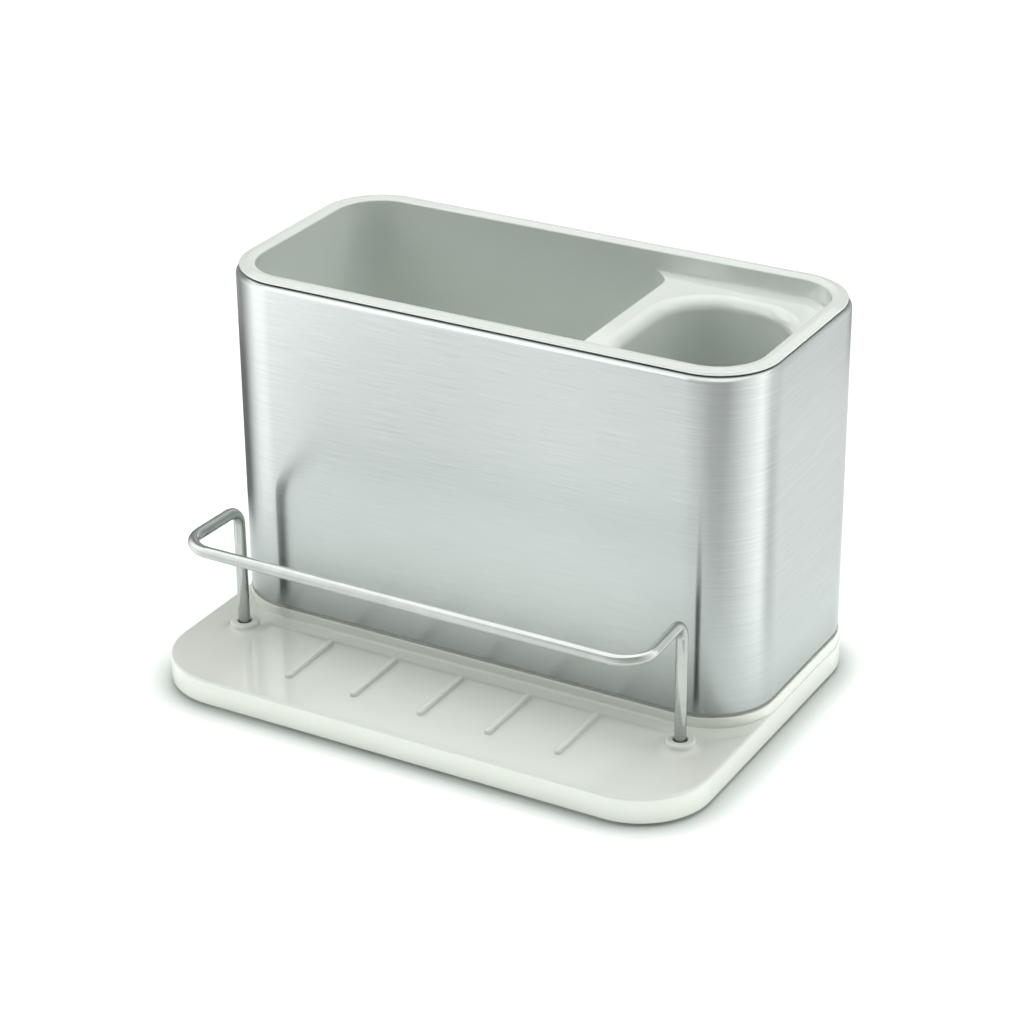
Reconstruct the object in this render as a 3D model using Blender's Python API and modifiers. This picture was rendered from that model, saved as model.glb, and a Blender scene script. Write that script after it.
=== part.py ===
# Sink caddy: a drip tray with a wire rail, a steel sleeve that stands on the tray,
# and a moulded insert with a long compartment and a brush well.
# Metres, +Z up, +Y towards the back. The origin is on the surface that the feet stand on,
# under the middle of the tray.

import math
from collections import namedtuple

import bpy
import bmesh
from mathutils import Vector

# Gaps and allowances
seat_gap = 0.0003
overrun = 0.0020
overlap = 0.0005
face_lift = 0.0001
weld_distance = 0.00001

# Facet counts
corner_steps = 8
round_steps = 3
turned_sides = 24
wire_side_steps = 4
bend_steps = 6

# Steel sleeve
sleeve_width = 0.2000
sleeve_depth = 0.0933
sleeve_height = 0.1187
sleeve_corner = 0.0232
sleeve_sheet = 0.0008
sleeve_shoulder = 0.0020
lip_clearance = 0.0005

# Drip tray
shelf_depth = 0.0501
tray_margin = 0.0009
tray_height = 0.0093
tray_front_corner = 0.0255
tray_wall = 0.0022
tray_skin = 0.0022
tray_top_round = 0.0010
tray_foot_round = 0.0008
underside_lift = 0.0004

# Plinth, locating ring and sump
plinth_height = 0.0043
plinth_step = 0.0004
plinth_fillet = 0.0010
plinth_round = 0.0004
locator_height = 0.0050
locator_wall = 0.0020
locator_round = 0.0008
locator_clearance = 0.0003
sump_floor = 0.0022
sump_round = 0.0030

# Drip ridges on the shelf
ridge_count = 5
ridge_pitch = 0.0257
ridge_width = 0.0020
ridge_height = 0.0013
ridge_crest = 0.0004
ridge_front_gap = 0.0143
ridge_back_gap = 0.0077

# Stiffening webs under the shelf
web_count = 4
web_thickness = 0.0012

# Rubber feet
foot_radius = 0.0060
foot_proud = 0.0010
foot_recess = 0.0010
foot_edge = 0.0004
foot_inset = 0.0180
foot_boss_wall = 0.0015

# Wire rail
wire_diameter = 0.0040
leg_side_inset = 0.0170
leg_gap = 0.0126
rail_reach = 0.0320
rail_rise = 0.0456
rail_splay = 0.0015
leg_bend = 0.0057
bar_bend = 0.0105

# Collars that hold the rail
collar_radius = 0.0051
collar_height = 0.0031
collar_round = 0.0011
collar_flare_spread = 0.0036
collar_flare_rise = 0.0015
socket_clearance = 0.0003
socket_floor = 0.0014
socket_mouth = 0.0007

# Moulded insert
rim_proud = 0.00195
rim_inset = 0.0012
rim_width = 0.0055
rim_outer_round = 0.0010
rim_inner_round = 0.0015
insert_wall = 0.0022
insert_floor = 0.0022
insert_taper = 0.0010
insert_base_round = 0.0022
insert_lift = 0.0020
floor_round = 0.0030

# Sunk plate with the brush well
plate_drop = 0.0085
plate_length = 0.0638
plate_skin = 0.0022
plate_fillet = 0.0018
divider_corner = 0.0080
housing_overlap = 0.0011
housing_liner = 0.0003
well_side_land = 0.00915
well_end_land = 0.01045
well_corner = 0.0190
well_roll = 0.0045
well_wall = 0.0020
core_corner = 0.0020

# Drain holes in the floors of the insert
drain_radius = 0.0025
drain_count = 5
drain_pitch = 0.0200
well_drain_count = 3
well_drain_pitch = 0.0130

# Heights
tray_bottom = foot_proud
underside = tray_bottom + underside_lift
shelf_top = tray_bottom + tray_height
plinth_top = shelf_top + plinth_height
locator_top = plinth_top + locator_height
sleeve_bottom = plinth_top + seat_gap
sleeve_top = sleeve_bottom + sleeve_height
rim_under = sleeve_top + seat_gap
rim_top = sleeve_top + rim_proud
insert_bottom = locator_top + insert_lift
insert_floor_top = insert_bottom + insert_floor
plate_top = rim_top - plate_drop
wire_axis_top = shelf_top + rail_rise
collar_top = shelf_top + collar_height
socket_bottom = underside + socket_floor

# Plan positions
tray_width = sleeve_width + 2 * tray_margin
tray_depth = shelf_depth + sleeve_depth + tray_margin
tray_front = -tray_depth / 2
tray_back = tray_depth / 2
sleeve_front = tray_front + shelf_depth
sleeve_back = sleeve_front + sleeve_depth
sleeve_middle = (sleeve_front + sleeve_back) / 2
leg_side = tray_width / 2 - leg_side_inset
leg_front = sleeve_front - leg_gap
bar_front = leg_front - rail_reach
wire_radius = wire_diameter / 2

# Insets from the outer face of the sleeve
rim_inner = rim_inset + rim_width
wall_outer = rim_inner - insert_wall
lip_end = wall_outer - lip_clearance
locator_outer = sleeve_sheet + locator_clearance
locator_inner = locator_outer + locator_wall
inner_right = sleeve_width / 2 - rim_inner
plate_left = inner_right - plate_length
well_middle = inner_right - plate_length / 2
well_width = plate_length - 2 * well_side_land
well_depth = sleeve_depth - 2 * (rim_inner + well_end_land)
well_round = min(well_corner, well_width / 2 - weld_distance, well_depth / 2 - weld_distance)

Plan = namedtuple("Plan", "left right front back radii")


# Plan outlines, each a box with its four corner radii: back right, back left, front left, front right
def grown(plan, distance):
    radii = tuple(max(radius + distance, weld_distance) for radius in plan.radii)
    return Plan(plan.left - distance, plan.right + distance, plan.front - distance, plan.back + distance, radii)


def sleeve_plan(inset):
    outer = Plan(-sleeve_width / 2, sleeve_width / 2, sleeve_front, sleeve_back, (sleeve_corner,) * 4)
    return grown(outer, -inset)


def tray_plan(inset):
    back_corner = sleeve_corner + tray_margin
    radii = (back_corner, back_corner, tray_front_corner, tray_front_corner)
    outer = Plan(-tray_width / 2, tray_width / 2, tray_front, tray_back, radii)
    return grown(outer, -inset)


def plinth_plan(spread):
    # The fillet at the foot of the plinth has room only on the shelf side.
    base = sleeve_plan(-plinth_step)
    radii = (base.radii[0], base.radii[1], base.radii[2] + spread, base.radii[3] + spread)
    return Plan(base.left, base.right, base.front - spread, base.back, radii)


def well_plan(growth):
    middle = Plan(
        well_middle - well_width / 2,
        well_middle + well_width / 2,
        sleeve_middle - well_depth / 2,
        sleeve_middle + well_depth / 2,
        (well_round,) * 4,
    )
    return grown(middle, growth)


def inner_wall_plan(height):
    # The walls of the insert lean in towards its floor.
    wall_head = rim_top - rim_inner_round
    wall_foot = insert_floor_top + floor_round
    return sleeve_plan(rim_inner + insert_taper * (wall_head - height) / (wall_head - wall_foot))


# Outlines and profiles as lists of points
def ring_of(plan, height):
    places = (
        (plan.right, plan.back, -1, -1),
        (plan.left, plan.back, 1, -1),
        (plan.left, plan.front, 1, 1),
        (plan.right, plan.front, -1, 1),
    )
    ring = []
    for quarter, (corner_x, corner_y, inward_x, inward_y) in enumerate(places):
        radius = plan.radii[quarter]
        centre = Vector((corner_x + inward_x * radius, corner_y + inward_y * radius, height))
        for step in range(corner_steps + 1):
            angle = math.pi / 2 * (quarter + step / corner_steps)
            ring.append(centre + radius * Vector((math.cos(angle), math.sin(angle), 0)))
    return ring


def rounding(start, end, upright_first):
    # A quarter round from one (inset, height) pair to another.
    points = []
    for step in range(round_steps + 1):
        turn = math.pi / 2 * step / round_steps
        slow = 1 - math.cos(turn)
        fast = math.sin(turn)
        across, up = (slow, fast) if upright_first else (fast, slow)
        points.append((start[0] + (end[0] - start[0]) * across, start[1] + (end[1] - start[1]) * up))
    return points


def housing_ring(height):
    # The block round the brush well: its left face flares into the walls of the compartment.
    inner = grown(inner_wall_plan(height), face_lift)
    outer = grown(inner, housing_overlap)
    ring = ring_of(outer, height)
    right_side = ring[:corner_steps + 1]
    front_side = ring[3 * (corner_steps + 1):]
    flare_x = plate_left - divider_corner
    back_flare = [Vector((flare_x, outer.back, height))]
    front_flare = []
    for step in range(corner_steps + 1):
        angle = math.pi / 2 * (1 - step / corner_steps)
        across = flare_x + divider_corner * math.cos(angle)
        along = divider_corner * (1 - math.sin(angle))
        back_flare.append(Vector((across, inner.back - along, height)))
        front_flare.insert(0, Vector((across, inner.front + along, height)))
    front_flare.append(Vector((flare_x, outer.front, height)))
    return right_side + back_flare + front_flare + front_side


# Scene and objects
def clear_scene():
    for item in list(bpy.data.objects):
        bpy.data.objects.remove(item, do_unlink=True)


def new_collection(name):
    collection = bpy.data.collections.new(name)
    bpy.context.scene.collection.children.link(collection)
    return collection


def new_object(name, mesh, collection):
    mesh.name = name
    item = bpy.data.objects.new(name, mesh)
    collection.objects.link(item)
    return item


def as_tool(item):
    item.hide_render = True
    item.display_type = "WIRE"
    return item


def lofted(name, rings, collection, closed_profile=False):
    shape = bmesh.new()
    loops = [[shape.verts.new(point) for point in ring] for ring in rings]
    pairs = list(zip(loops, loops[1:]))
    if closed_profile:
        pairs.append((loops[-1], loops[0]))
    else:
        shape.faces.new(loops[0])
        shape.faces.new(loops[-1])
    for lower, upper in pairs:
        for index, corner in enumerate(lower):
            after = (index + 1) % len(lower)
            shape.faces.new((corner, lower[after], upper[after], upper[index]))
    bmesh.ops.recalc_face_normals(shape, faces=shape.faces)
    mesh = bpy.data.meshes.new(name)
    shape.to_mesh(mesh)
    shape.free()
    mesh.shade_smooth()
    mesh.set_sharp_from_angle(angle=math.radians(35))
    return new_object(name, mesh, collection)


def turned(name, profile, centre, collection):
    # The profile is (radius, height) pairs from the top of the axis down its outer side.
    mesh = bpy.data.meshes.new(name)
    points = [(radius, 0, height) for radius, height in profile]
    mesh.from_pydata(points, [(index, index + 1) for index in range(len(points) - 1)], [])
    item = new_object(name, mesh, collection)
    item.location = (centre[0], centre[1], 0)
    screw = item.modifiers.new("turn", "SCREW")
    screw.axis = "Z"
    screw.steps = turned_sides
    screw.render_steps = turned_sides
    screw.use_merge_vertices = True
    screw.merge_threshold = weld_distance
    screw.use_smooth_shade = True
    return item


def block(name, left, right, front, back, bottom, top, collection):
    shape = bmesh.new()
    bmesh.ops.create_cube(shape, size=1)
    bmesh.ops.scale(shape, vec=(right - left, back - front, top - bottom), verts=shape.verts)
    middle = Vector((left + right, front + back, bottom + top)) / 2
    bmesh.ops.translate(shape, vec=middle, verts=shape.verts)
    mesh = bpy.data.meshes.new(name)
    shape.to_mesh(mesh)
    shape.free()
    return new_object(name, mesh, collection)


def combine(target, tool, operation):
    modifier = target.modifiers.new(tool.name, "BOOLEAN")
    modifier.operation = operation
    modifier.object = as_tool(tool)


def add(target, tool):
    combine(target, tool, "UNION")


def cut(target, tool):
    combine(target, tool, "DIFFERENCE")


def move_origin(item, anchor):
    for vertex in item.data.vertices:
        vertex.co -= anchor
    item.location = anchor


def finish(name, colour, roughness, metallic):
    material = bpy.data.materials.new(name)
    material.use_nodes = True
    shader = material.node_tree.nodes["Principled BSDF"]
    shader.inputs["Base Color"].default_value = (*colour, 1)
    shader.inputs["Roughness"].default_value = roughness
    shader.inputs["Metallic"].default_value = metallic
    return material


# Drip tray
def tray_shell(parts):
    profile = [(tray_wall, shelf_top - tray_skin), (tray_wall, tray_bottom)]
    profile += rounding((tray_foot_round, tray_bottom), (0, tray_bottom + tray_foot_round), False)
    profile += rounding((0, shelf_top - tray_top_round), (tray_top_round, shelf_top), True)
    rings = [ring_of(tray_plan(inset), height) for inset, height in profile]
    return lofted("base_tray", rings, parts)


def sump_and_plinth(tools):
    spreads = rounding((plinth_fillet, shelf_top - face_lift), (0, shelf_top + plinth_fillet), False)
    rings = [ring_of(plinth_plan(0), underside)]
    rings.append(ring_of(plinth_plan(0), shelf_top - tray_skin / 2))
    rings.append(ring_of(plinth_plan(plinth_fillet), shelf_top - tray_skin / 2))
    rings += [ring_of(plinth_plan(spread), height) for spread, height in spreads]
    profile = rounding((-plinth_step, plinth_top - plinth_round), (plinth_round - plinth_step, plinth_top), True)
    profile.append((locator_outer, plinth_top))
    profile += rounding(
        (locator_outer, locator_top - locator_round), (locator_outer + locator_round, locator_top), True
    )
    profile.append((locator_inner, locator_top))
    floor_top = underside + sump_floor
    profile += rounding((locator_inner, floor_top + sump_round), (locator_inner + sump_round, floor_top), True)
    rings += [ring_of(sleeve_plan(inset), height) for inset, height in profile]
    return lofted("sump_and_plinth", rings, tools)


def shelf_opening(tools):
    # The skin of the shelf stops inside the wall of the sump.
    plan = sleeve_plan(locator_outer)
    heights = (shelf_top - tray_skin - overrun, shelf_top + overrun)
    return lofted("shelf_opening", [ring_of(plan, height) for height in heights], tools)


def ridge(number, tools):
    middle = (number - (ridge_count - 1) / 2) * ridge_pitch
    half = ridge_width / 2
    front = tray_front + ridge_front_gap
    back = sleeve_front - ridge_back_gap
    plan = Plan(middle - half, middle + half, front, back, (half,) * 4)
    profile = [(0, shelf_top - overlap), (0, shelf_top)]
    crown = half - ridge_crest / 2
    profile += rounding((0, shelf_top + ridge_height - crown), (crown, shelf_top + ridge_height), True)
    rings = [ring_of(grown(plan, -inset), height) for inset, height in profile]
    return lofted(f"ridge_{number + 1}", rings, tools)


def cross_web(number, tools):
    # Webs stand between the drip ridges, from the front skirt to the wall of the sump.
    middle = (number - (web_count - 1) / 2) * ridge_pitch
    half = web_thickness / 2
    front = tray_front + tray_wall - overlap
    back = sleeve_front - plinth_step + overlap
    return block(
        f"cross_web_{number + 1}", middle - half, middle + half, front, back, underside,
        shelf_top - tray_skin + overlap, tools,
    )


def long_web(tools):
    middle = (tray_front + tray_wall + sleeve_front) / 2
    half = web_thickness / 2
    side = tray_width / 2 - tray_wall + overlap
    return block(
        "long_web", -side, side, middle - half, middle + half, underside + face_lift,
        shelf_top - tray_skin + overlap, tools,
    )


def leg_collar(side_name, side, tools):
    profile = [(0, collar_top)]
    profile += rounding((collar_radius - collar_round, collar_top), (collar_radius, collar_top - collar_round), False)
    flare_radius = collar_radius + collar_flare_spread
    profile += rounding(
        (flare_radius, shelf_top - face_lift), (collar_radius, shelf_top + collar_flare_rise), False
    )[::-1]
    boss_top = shelf_top - tray_skin / 2
    profile += [(flare_radius, boss_top), (collar_radius, boss_top)]
    profile += [(collar_radius, underside), (0, underside)]
    return turned(f"collar_{side_name}", profile, (side * leg_side, leg_front), tools)


def leg_socket(side_name, side, tools):
    bore = wire_radius + socket_clearance
    profile = [(0, collar_top + overrun), (bore + socket_mouth, collar_top + overrun)]
    profile += [(bore + socket_mouth, collar_top), (bore, collar_top - socket_mouth)]
    profile += [(bore, socket_bottom), (0, socket_bottom)]
    return turned(f"socket_{side_name}", profile, (side * leg_side, leg_front), tools)


foot_places = {
    "front_left": (-1, -1),
    "front_right": (1, -1),
    "back_left": (-1, 1),
    "back_right": (1, 1),
}


def foot_centre(place):
    side, end = foot_places[place]
    return (side * (tray_width / 2 - foot_inset), end * (tray_depth / 2 - foot_inset))


def foot_boss(place, tools):
    radius = foot_radius + seat_gap + foot_boss_wall
    top = shelf_top - tray_skin + overlap
    profile = [(0, top), (radius, top), (radius, underside + face_lift), (0, underside + face_lift)]
    return turned(f"foot_boss_{place}", profile, foot_centre(place), tools)


def foot_pocket(place, tools):
    radius = foot_radius + seat_gap
    ceiling = underside + foot_recess
    low = tray_bottom - overrun
    profile = [(0, ceiling), (radius, ceiling), (radius, low), (0, low)]
    return turned(f"foot_pocket_{place}", profile, foot_centre(place), tools)


def base_tray(parts, tools):
    tray = tray_shell(parts)
    cut(tray, shelf_opening(tools))
    add(tray, sump_and_plinth(tools))
    add(tray, long_web(tools))
    for number in range(web_count):
        add(tray, cross_web(number, tools))
    for place, (side, end) in foot_places.items():
        if end < 0:
            add(tray, foot_boss(place, tools))
    for side_name, side in (("left", -1), ("right", 1)):
        add(tray, leg_collar(side_name, side, tools))
    for number in range(ridge_count):
        add(tray, ridge(number, tools))
    for side_name, side in (("left", -1), ("right", 1)):
        cut(tray, leg_socket(side_name, side, tools))
    for place in foot_places:
        cut(tray, foot_pocket(place, tools))
    return tray


# Rubber feet
def rubber_foot(place, parts):
    top = underside + foot_recess - seat_gap
    profile = [(0, top)]
    profile += rounding((foot_radius - foot_edge, top), (foot_radius, top - foot_edge), False)
    profile += rounding((foot_radius, foot_edge), (foot_radius - foot_edge, 0), True)
    profile.append((0, 0))
    return turned(f"foot_{place}", profile, foot_centre(place), parts)


# Wire rail
def bend(corner, before, after, radius):
    # An arc that rounds a corner between two unit directions.
    whole_turn = before.angle(after)
    start = corner - before * radius * math.tan(whole_turn / 2)
    inward = (after - before * before.dot(after)).normalized()
    points = []
    for step in range(bend_steps + 1):
        turn = whole_turn * step / bend_steps
        points.append(start + before * radius * math.sin(turn) + inward * radius * (1 - math.cos(turn)))
    return points


def rail_route():
    # The arms lean outwards a little on their way to the front bar.
    foot = Vector((-leg_side, leg_front, socket_bottom + seat_gap))
    shoulder = Vector((-leg_side, leg_front, wire_axis_top))
    elbow = Vector((-leg_side - rail_splay, bar_front, wire_axis_top))
    arm = (elbow - shoulder).normalized()
    half = [foot]
    half += bend(shoulder, Vector((0, 0, 1)), arm, leg_bend)
    half += bend(elbow, arm, Vector((1, 0, 0)), bar_bend)
    return half + [Vector((-point.x, point.y, point.z)) for point in reversed(half)]


def wire_rail(parts):
    anchor = Vector((0, leg_front, collar_top))
    route = rail_route()
    curve = bpy.data.curves.new("wire_rail", "CURVE")
    curve.dimensions = "3D"
    curve.bevel_depth = wire_radius
    curve.bevel_resolution = wire_side_steps
    curve.use_fill_caps = True
    spline = curve.splines.new("POLY")
    spline.points.add(len(route) - 1)
    for point, place in zip(spline.points, route):
        point.co = (*(place - anchor), 1)
        point.radius = 1
    rail = bpy.data.objects.new("wire_rail", curve)
    rail.location = anchor
    parts.objects.link(rail)
    return rail


# Steel sleeve
def steel_sleeve(parts):
    profile = [(0, sleeve_bottom)]
    profile += rounding((0, sleeve_top - sleeve_shoulder), (sleeve_shoulder, sleeve_top), True)
    profile += [(lip_end, sleeve_top), (lip_end, sleeve_top - sleeve_sheet)]
    profile += rounding(
        (sleeve_shoulder, sleeve_top - sleeve_sheet), (sleeve_sheet, sleeve_top - sleeve_shoulder), False
    )
    profile.append((sleeve_sheet, sleeve_bottom))
    rings = [ring_of(sleeve_plan(inset), height) for inset, height in profile]
    sleeve = lofted("steel_sleeve", rings, parts, closed_profile=True)
    move_origin(sleeve, Vector((0, sleeve_middle, sleeve_bottom)))
    return sleeve


# Moulded insert
def insert_shell(parts):
    low_outer = wall_outer + insert_taper
    low_inner = rim_inner + insert_taper
    profile = rounding(
        (low_outer + insert_base_round, insert_bottom), (low_outer, insert_bottom + insert_base_round), False
    )
    profile += [(wall_outer, rim_under), (rim_inset, rim_under)]
    profile += rounding((rim_inset, rim_top - rim_outer_round), (rim_inset + rim_outer_round, rim_top), True)
    profile += rounding((rim_inner - rim_inner_round, rim_top), (rim_inner, rim_top - rim_inner_round), False)
    profile += rounding(
        (low_inner, insert_floor_top + floor_round), (low_inner + floor_round, insert_floor_top), True
    )
    rings = [ring_of(sleeve_plan(inset), height) for inset, height in profile]
    return lofted("caddy_insert", rings, parts)


def well_housing(tools):
    # The plate is sunk into this block, with a fillet where it meets the walls.
    housing = lofted(
        "well_housing",
        [housing_ring(insert_bottom + overlap), housing_ring(plate_top + plate_fillet + overlap)],
        tools,
    )
    wall = grown(inner_wall_plan(plate_top), face_lift)
    profile = rounding((plate_fillet, plate_top), (0, plate_top + plate_fillet), False)
    profile.append((0, plate_top + plate_fillet + overrun))
    rings = [ring_of(grown(wall, -inset), height) for inset, height in profile]
    cut(housing, lofted("plate_recess", rings, tools))
    return housing


def well_core(tools):
    # The space between the well and the walls is open underneath, as it comes out of the mould.
    ceiling = plate_top - plate_skin
    low = insert_bottom - overrun
    rings = []
    for height in (low, ceiling):
        inner = grown(inner_wall_plan(height), -housing_liner)
        radii = (inner.radii[0], core_corner, core_corner, inner.radii[3])
        plan = Plan(plate_left + insert_wall, inner.right, inner.front, inner.back, radii)
        rings.append(ring_of(plan, height))
    core = lofted("well_core", rings, tools)
    tube_rings = [ring_of(well_plan(well_wall), height) for height in (low - overrun, ceiling + overrun)]
    cut(core, lofted("well_tube", tube_rings, tools))
    return core


def brush_well(tools):
    profile = rounding((-floor_round, insert_floor_top), (0, insert_floor_top + floor_round), False)
    mouth = plate_top + face_lift
    profile += rounding((0, mouth - well_roll), (well_roll, mouth), True)
    profile.append((well_roll, mouth + overrun))
    rings = [ring_of(well_plan(growth), height) for growth, height in profile]
    return lofted("brush_well", rings, tools)


def drain_hole(name, centre, tools):
    top = insert_floor_top + overrun
    low = insert_bottom - overrun
    profile = [(0, top), (drain_radius, top), (drain_radius, low), (0, low)]
    return turned(name, profile, centre, tools)


def caddy_insert(parts, tools):
    insert = insert_shell(parts)
    add(insert, well_housing(tools))
    cut(insert, well_core(tools))
    cut(insert, brush_well(tools))
    compartment_middle = (plate_left - inner_right) / 2
    for number in range(drain_count):
        across = compartment_middle + (number - (drain_count - 1) / 2) * drain_pitch
        cut(insert, drain_hole(f"drain_{number + 1}", (across, sleeve_middle), tools))
    for number in range(well_drain_count):
        along = sleeve_middle + (number - (well_drain_count - 1) / 2) * well_drain_pitch
        cut(insert, drain_hole(f"well_drain_{number + 1}", (well_middle, along), tools))
    move_origin(insert, Vector((0, sleeve_middle, rim_under)))
    return insert


def build():
    clear_scene()
    parts = new_collection("sink_caddy")
    tools = new_collection("sink_caddy_cutters")

    gloss_white = (0.78, 0.80, 0.76)
    tray_finish = finish("glossy off-white ABS tray", gloss_white, 0.12, 0)
    insert_finish = finish("off-white ABS insert", gloss_white, 0.22, 0)
    rubber_finish = finish("grey non-slip rubber", (0.22, 0.23, 0.23), 0.75, 0)
    wire_finish = finish("polished stainless wire", (0.62, 0.63, 0.63), 0.14, 1)
    sheet_finish = finish("brushed stainless sheet", (0.60, 0.61, 0.62), 0.32, 1)

    base_tray(parts, tools).data.materials.append(tray_finish)
    for place in foot_places:
        rubber_foot(place, parts).data.materials.append(rubber_finish)
    wire_rail(parts).data.materials.append(wire_finish)
    steel_sleeve(parts).data.materials.append(sheet_finish)
    caddy_insert(parts, tools).data.materials.append(insert_finish)


build()
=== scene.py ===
import math

import bmesh
import bpy
from mathutils import Matrix, Vector


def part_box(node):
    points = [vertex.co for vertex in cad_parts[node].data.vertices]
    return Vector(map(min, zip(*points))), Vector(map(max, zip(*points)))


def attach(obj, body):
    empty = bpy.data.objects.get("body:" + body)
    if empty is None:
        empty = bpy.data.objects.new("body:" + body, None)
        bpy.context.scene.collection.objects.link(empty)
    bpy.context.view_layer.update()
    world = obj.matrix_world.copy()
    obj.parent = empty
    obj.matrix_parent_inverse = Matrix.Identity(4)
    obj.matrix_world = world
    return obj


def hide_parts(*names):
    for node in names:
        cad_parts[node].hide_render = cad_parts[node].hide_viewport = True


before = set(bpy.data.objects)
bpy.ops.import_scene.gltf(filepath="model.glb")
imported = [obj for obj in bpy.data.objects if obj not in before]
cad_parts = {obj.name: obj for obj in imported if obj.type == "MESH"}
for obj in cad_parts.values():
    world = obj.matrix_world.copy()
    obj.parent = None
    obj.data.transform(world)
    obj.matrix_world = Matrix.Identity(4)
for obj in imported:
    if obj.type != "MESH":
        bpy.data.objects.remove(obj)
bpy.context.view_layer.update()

mm = 0.001
near = 0.01        # how close, in millimetres, two heights count as the same
weldReach = 0.002  # points closer than this are merged
overlap = 0.02     # how far a piece reaches into the one that it joins
cutPast = 2.0      # how far a cutting piece reaches past what it cuts
print("frame loaded:", ", ".join(sorted(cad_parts)))


# Places from the frame, in millimetres as all sizes below
def boxOf(node):
    low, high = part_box(node)
    return Vector(low) / mm, Vector(high) / mm


trayLow, trayHigh = boxOf("base_tray")
sleeveLow, sleeveHigh = boxOf("steel_sleeve")
insertLow, insertHigh = boxOf("caddy_insert")
railLow, railHigh = boxOf("wire_rail")
sleeveMiddle = (sleeveLow.y + sleeveHigh.y) / 2


# Edit-mode helpers
def pickOnly(piece):
    if bpy.context.object and bpy.context.object.mode != "OBJECT":
        bpy.ops.object.mode_set(mode="OBJECT")
    bpy.ops.object.select_all(action="DESELECT")
    if piece:
        piece.select_set(True)
        bpy.context.view_layer.objects.active = piece


def openMesh(piece, kind, wanted):
    # Edit mode with only those faces, edges or vertices selected that are wanted.
    pickOnly(piece)
    bpy.ops.object.mode_set(mode="EDIT")
    bpy.ops.mesh.select_mode(type=kind)
    bpy.ops.mesh.select_all(action="DESELECT")
    mesh = bmesh.from_edit_mesh(piece.data)
    for part in {"FACE": mesh.faces, "EDGE": mesh.edges, "VERT": mesh.verts}[kind]:
        if wanted(part):
            part.select_set(True)
    bmesh.update_edit_mesh(piece.data)


def closeMesh():
    bpy.ops.object.mode_set(mode="OBJECT")


def applyPlace():
    bpy.ops.object.transform_apply(location=True, rotation=True, scale=True)


def startBlock(name, low, high):
    pickOnly(None)
    low, high = Vector(low), Vector(high)
    bpy.ops.mesh.primitive_cube_add(size=1, location=(low + high) / 2 * mm, scale=(high - low) * mm)
    bpy.context.object.name = name
    applyPlace()
    return bpy.context.object


def startDisc(name, centre, radius, low, high, sides):
    pickOnly(None)
    place = Vector((centre[0], centre[1], (low + high) / 2)) * mm
    bpy.ops.mesh.primitive_cylinder_add(vertices=sides, radius=radius * mm, depth=(high - low) * mm,
                                        location=place)
    bpy.context.object.name = name
    applyPlace()
    return bpy.context.object


def roundEdges(radius, segments):
    bpy.ops.mesh.bevel(offset=radius * mm, segments=segments, profile=0.5, affect="EDGES",
                       clamp_overlap=False)


def roundCorners(piece, radius, wanted, segments=32):
    # The upright edges at the wanted corners are rounded in plan.
    def atCorner(edge):
        first, second = edge.verts
        return abs(first.co.z - second.co.z) > near * mm and wanted(first.co / mm)
    openMesh(piece, "EDGE", atCorner)
    roundEdges(radius, segments)
    closeMesh()


def sleeveBlock(name, inset, low, high, segments=32):
    # A block with the sleeve's outline in plan, smaller all round by inset.
    block = startBlock(name, (sleeveLow.x + inset, sleeveLow.y + inset, low),
                       (sleeveHigh.x - inset, sleeveHigh.y - inset, high))
    roundCorners(block, sleeveSizes["corner"] - inset, lambda place: True, segments)
    return block


def quarter(steps):
    # The slow and the fast side of a quarter round, each from 0 to 1.
    angles = [math.pi / 2 * step / steps for step in range(steps + 1)]
    return [(1 - math.cos(angle), math.sin(angle)) for angle in angles]


def movesAlong(points):
    # The move from each point to the next.
    return [(after[0] - before[0], after[1] - before[1])
            for before, after in zip(points, points[1:])]


def wallToFlat(spread, rise, steps):
    # (inward, outward) moves for shapeCap: a quarter round from a wall over onto a flat.
    return movesAlong([(spread * slow, rise * fast) for slow, fast in quarter(steps)])


def flatToWall(spread, rise, steps):
    # The same from a flat into a wall.
    return movesAlong([(spread * fast, rise * slow) for slow, fast in quarter(steps)])


def looksAlong(face, side):
    # Whether a face looks straight up (side 1) or straight down (side -1).
    return face.normal.z * side > 0.99


def shapeCap(piece, level, side, moves, leaveOpen=False):
    # The flat end at this height is inset and pushed along its normal, one ring after another.
    def atLevel(face):
        return looksAlong(face, side) and abs(face.calc_center_median().z / mm - level) < near
    openMesh(piece, "FACE", atLevel)
    for inward, outward in moves:
        bpy.ops.mesh.inset(thickness=inward * mm, depth=outward * mm, use_even_offset=True)
    if leaveOpen:
        bpy.ops.mesh.delete(type="FACE")
    closeMesh()


def applyModifier(piece, kind, settings):
    pickOnly(piece)
    modifier = piece.modifiers.new(kind.lower(), kind)
    for key, value in settings.items():
        setattr(modifier, key, value)
    bpy.ops.object.modifier_apply(modifier=modifier.name)


def weld(piece):
    openMesh(piece, "VERT", lambda vertex: True)
    bpy.ops.mesh.remove_doubles(threshold=weldReach * mm)
    closeMesh()


def combine(piece, tool, operation):
    # Doubles are merged after each cut, so that the next one starts from a clean mesh.
    applyModifier(piece, "BOOLEAN", {"operation": operation, "solver": "EXACT", "object": tool})
    bpy.data.objects.remove(tool, do_unlink=True)
    weld(piece)


def copyOf(piece, name, move):
    pickOnly(piece)
    bpy.ops.object.duplicate()
    bpy.context.object.name = name
    bpy.context.object.location = Vector(move) * mm
    applyPlace()
    return bpy.context.object


def smooth(piece, angle=30):
    # Broad faces keep their own normal, so that small rounds carry the highlights.
    weld(piece)
    bpy.ops.object.shade_smooth_by_angle(angle=math.radians(angle), keep_sharp_edges=False)
    applyModifier(piece, "WEIGHTED_NORMAL", {"keep_sharp": True, "weight": 100})


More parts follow.
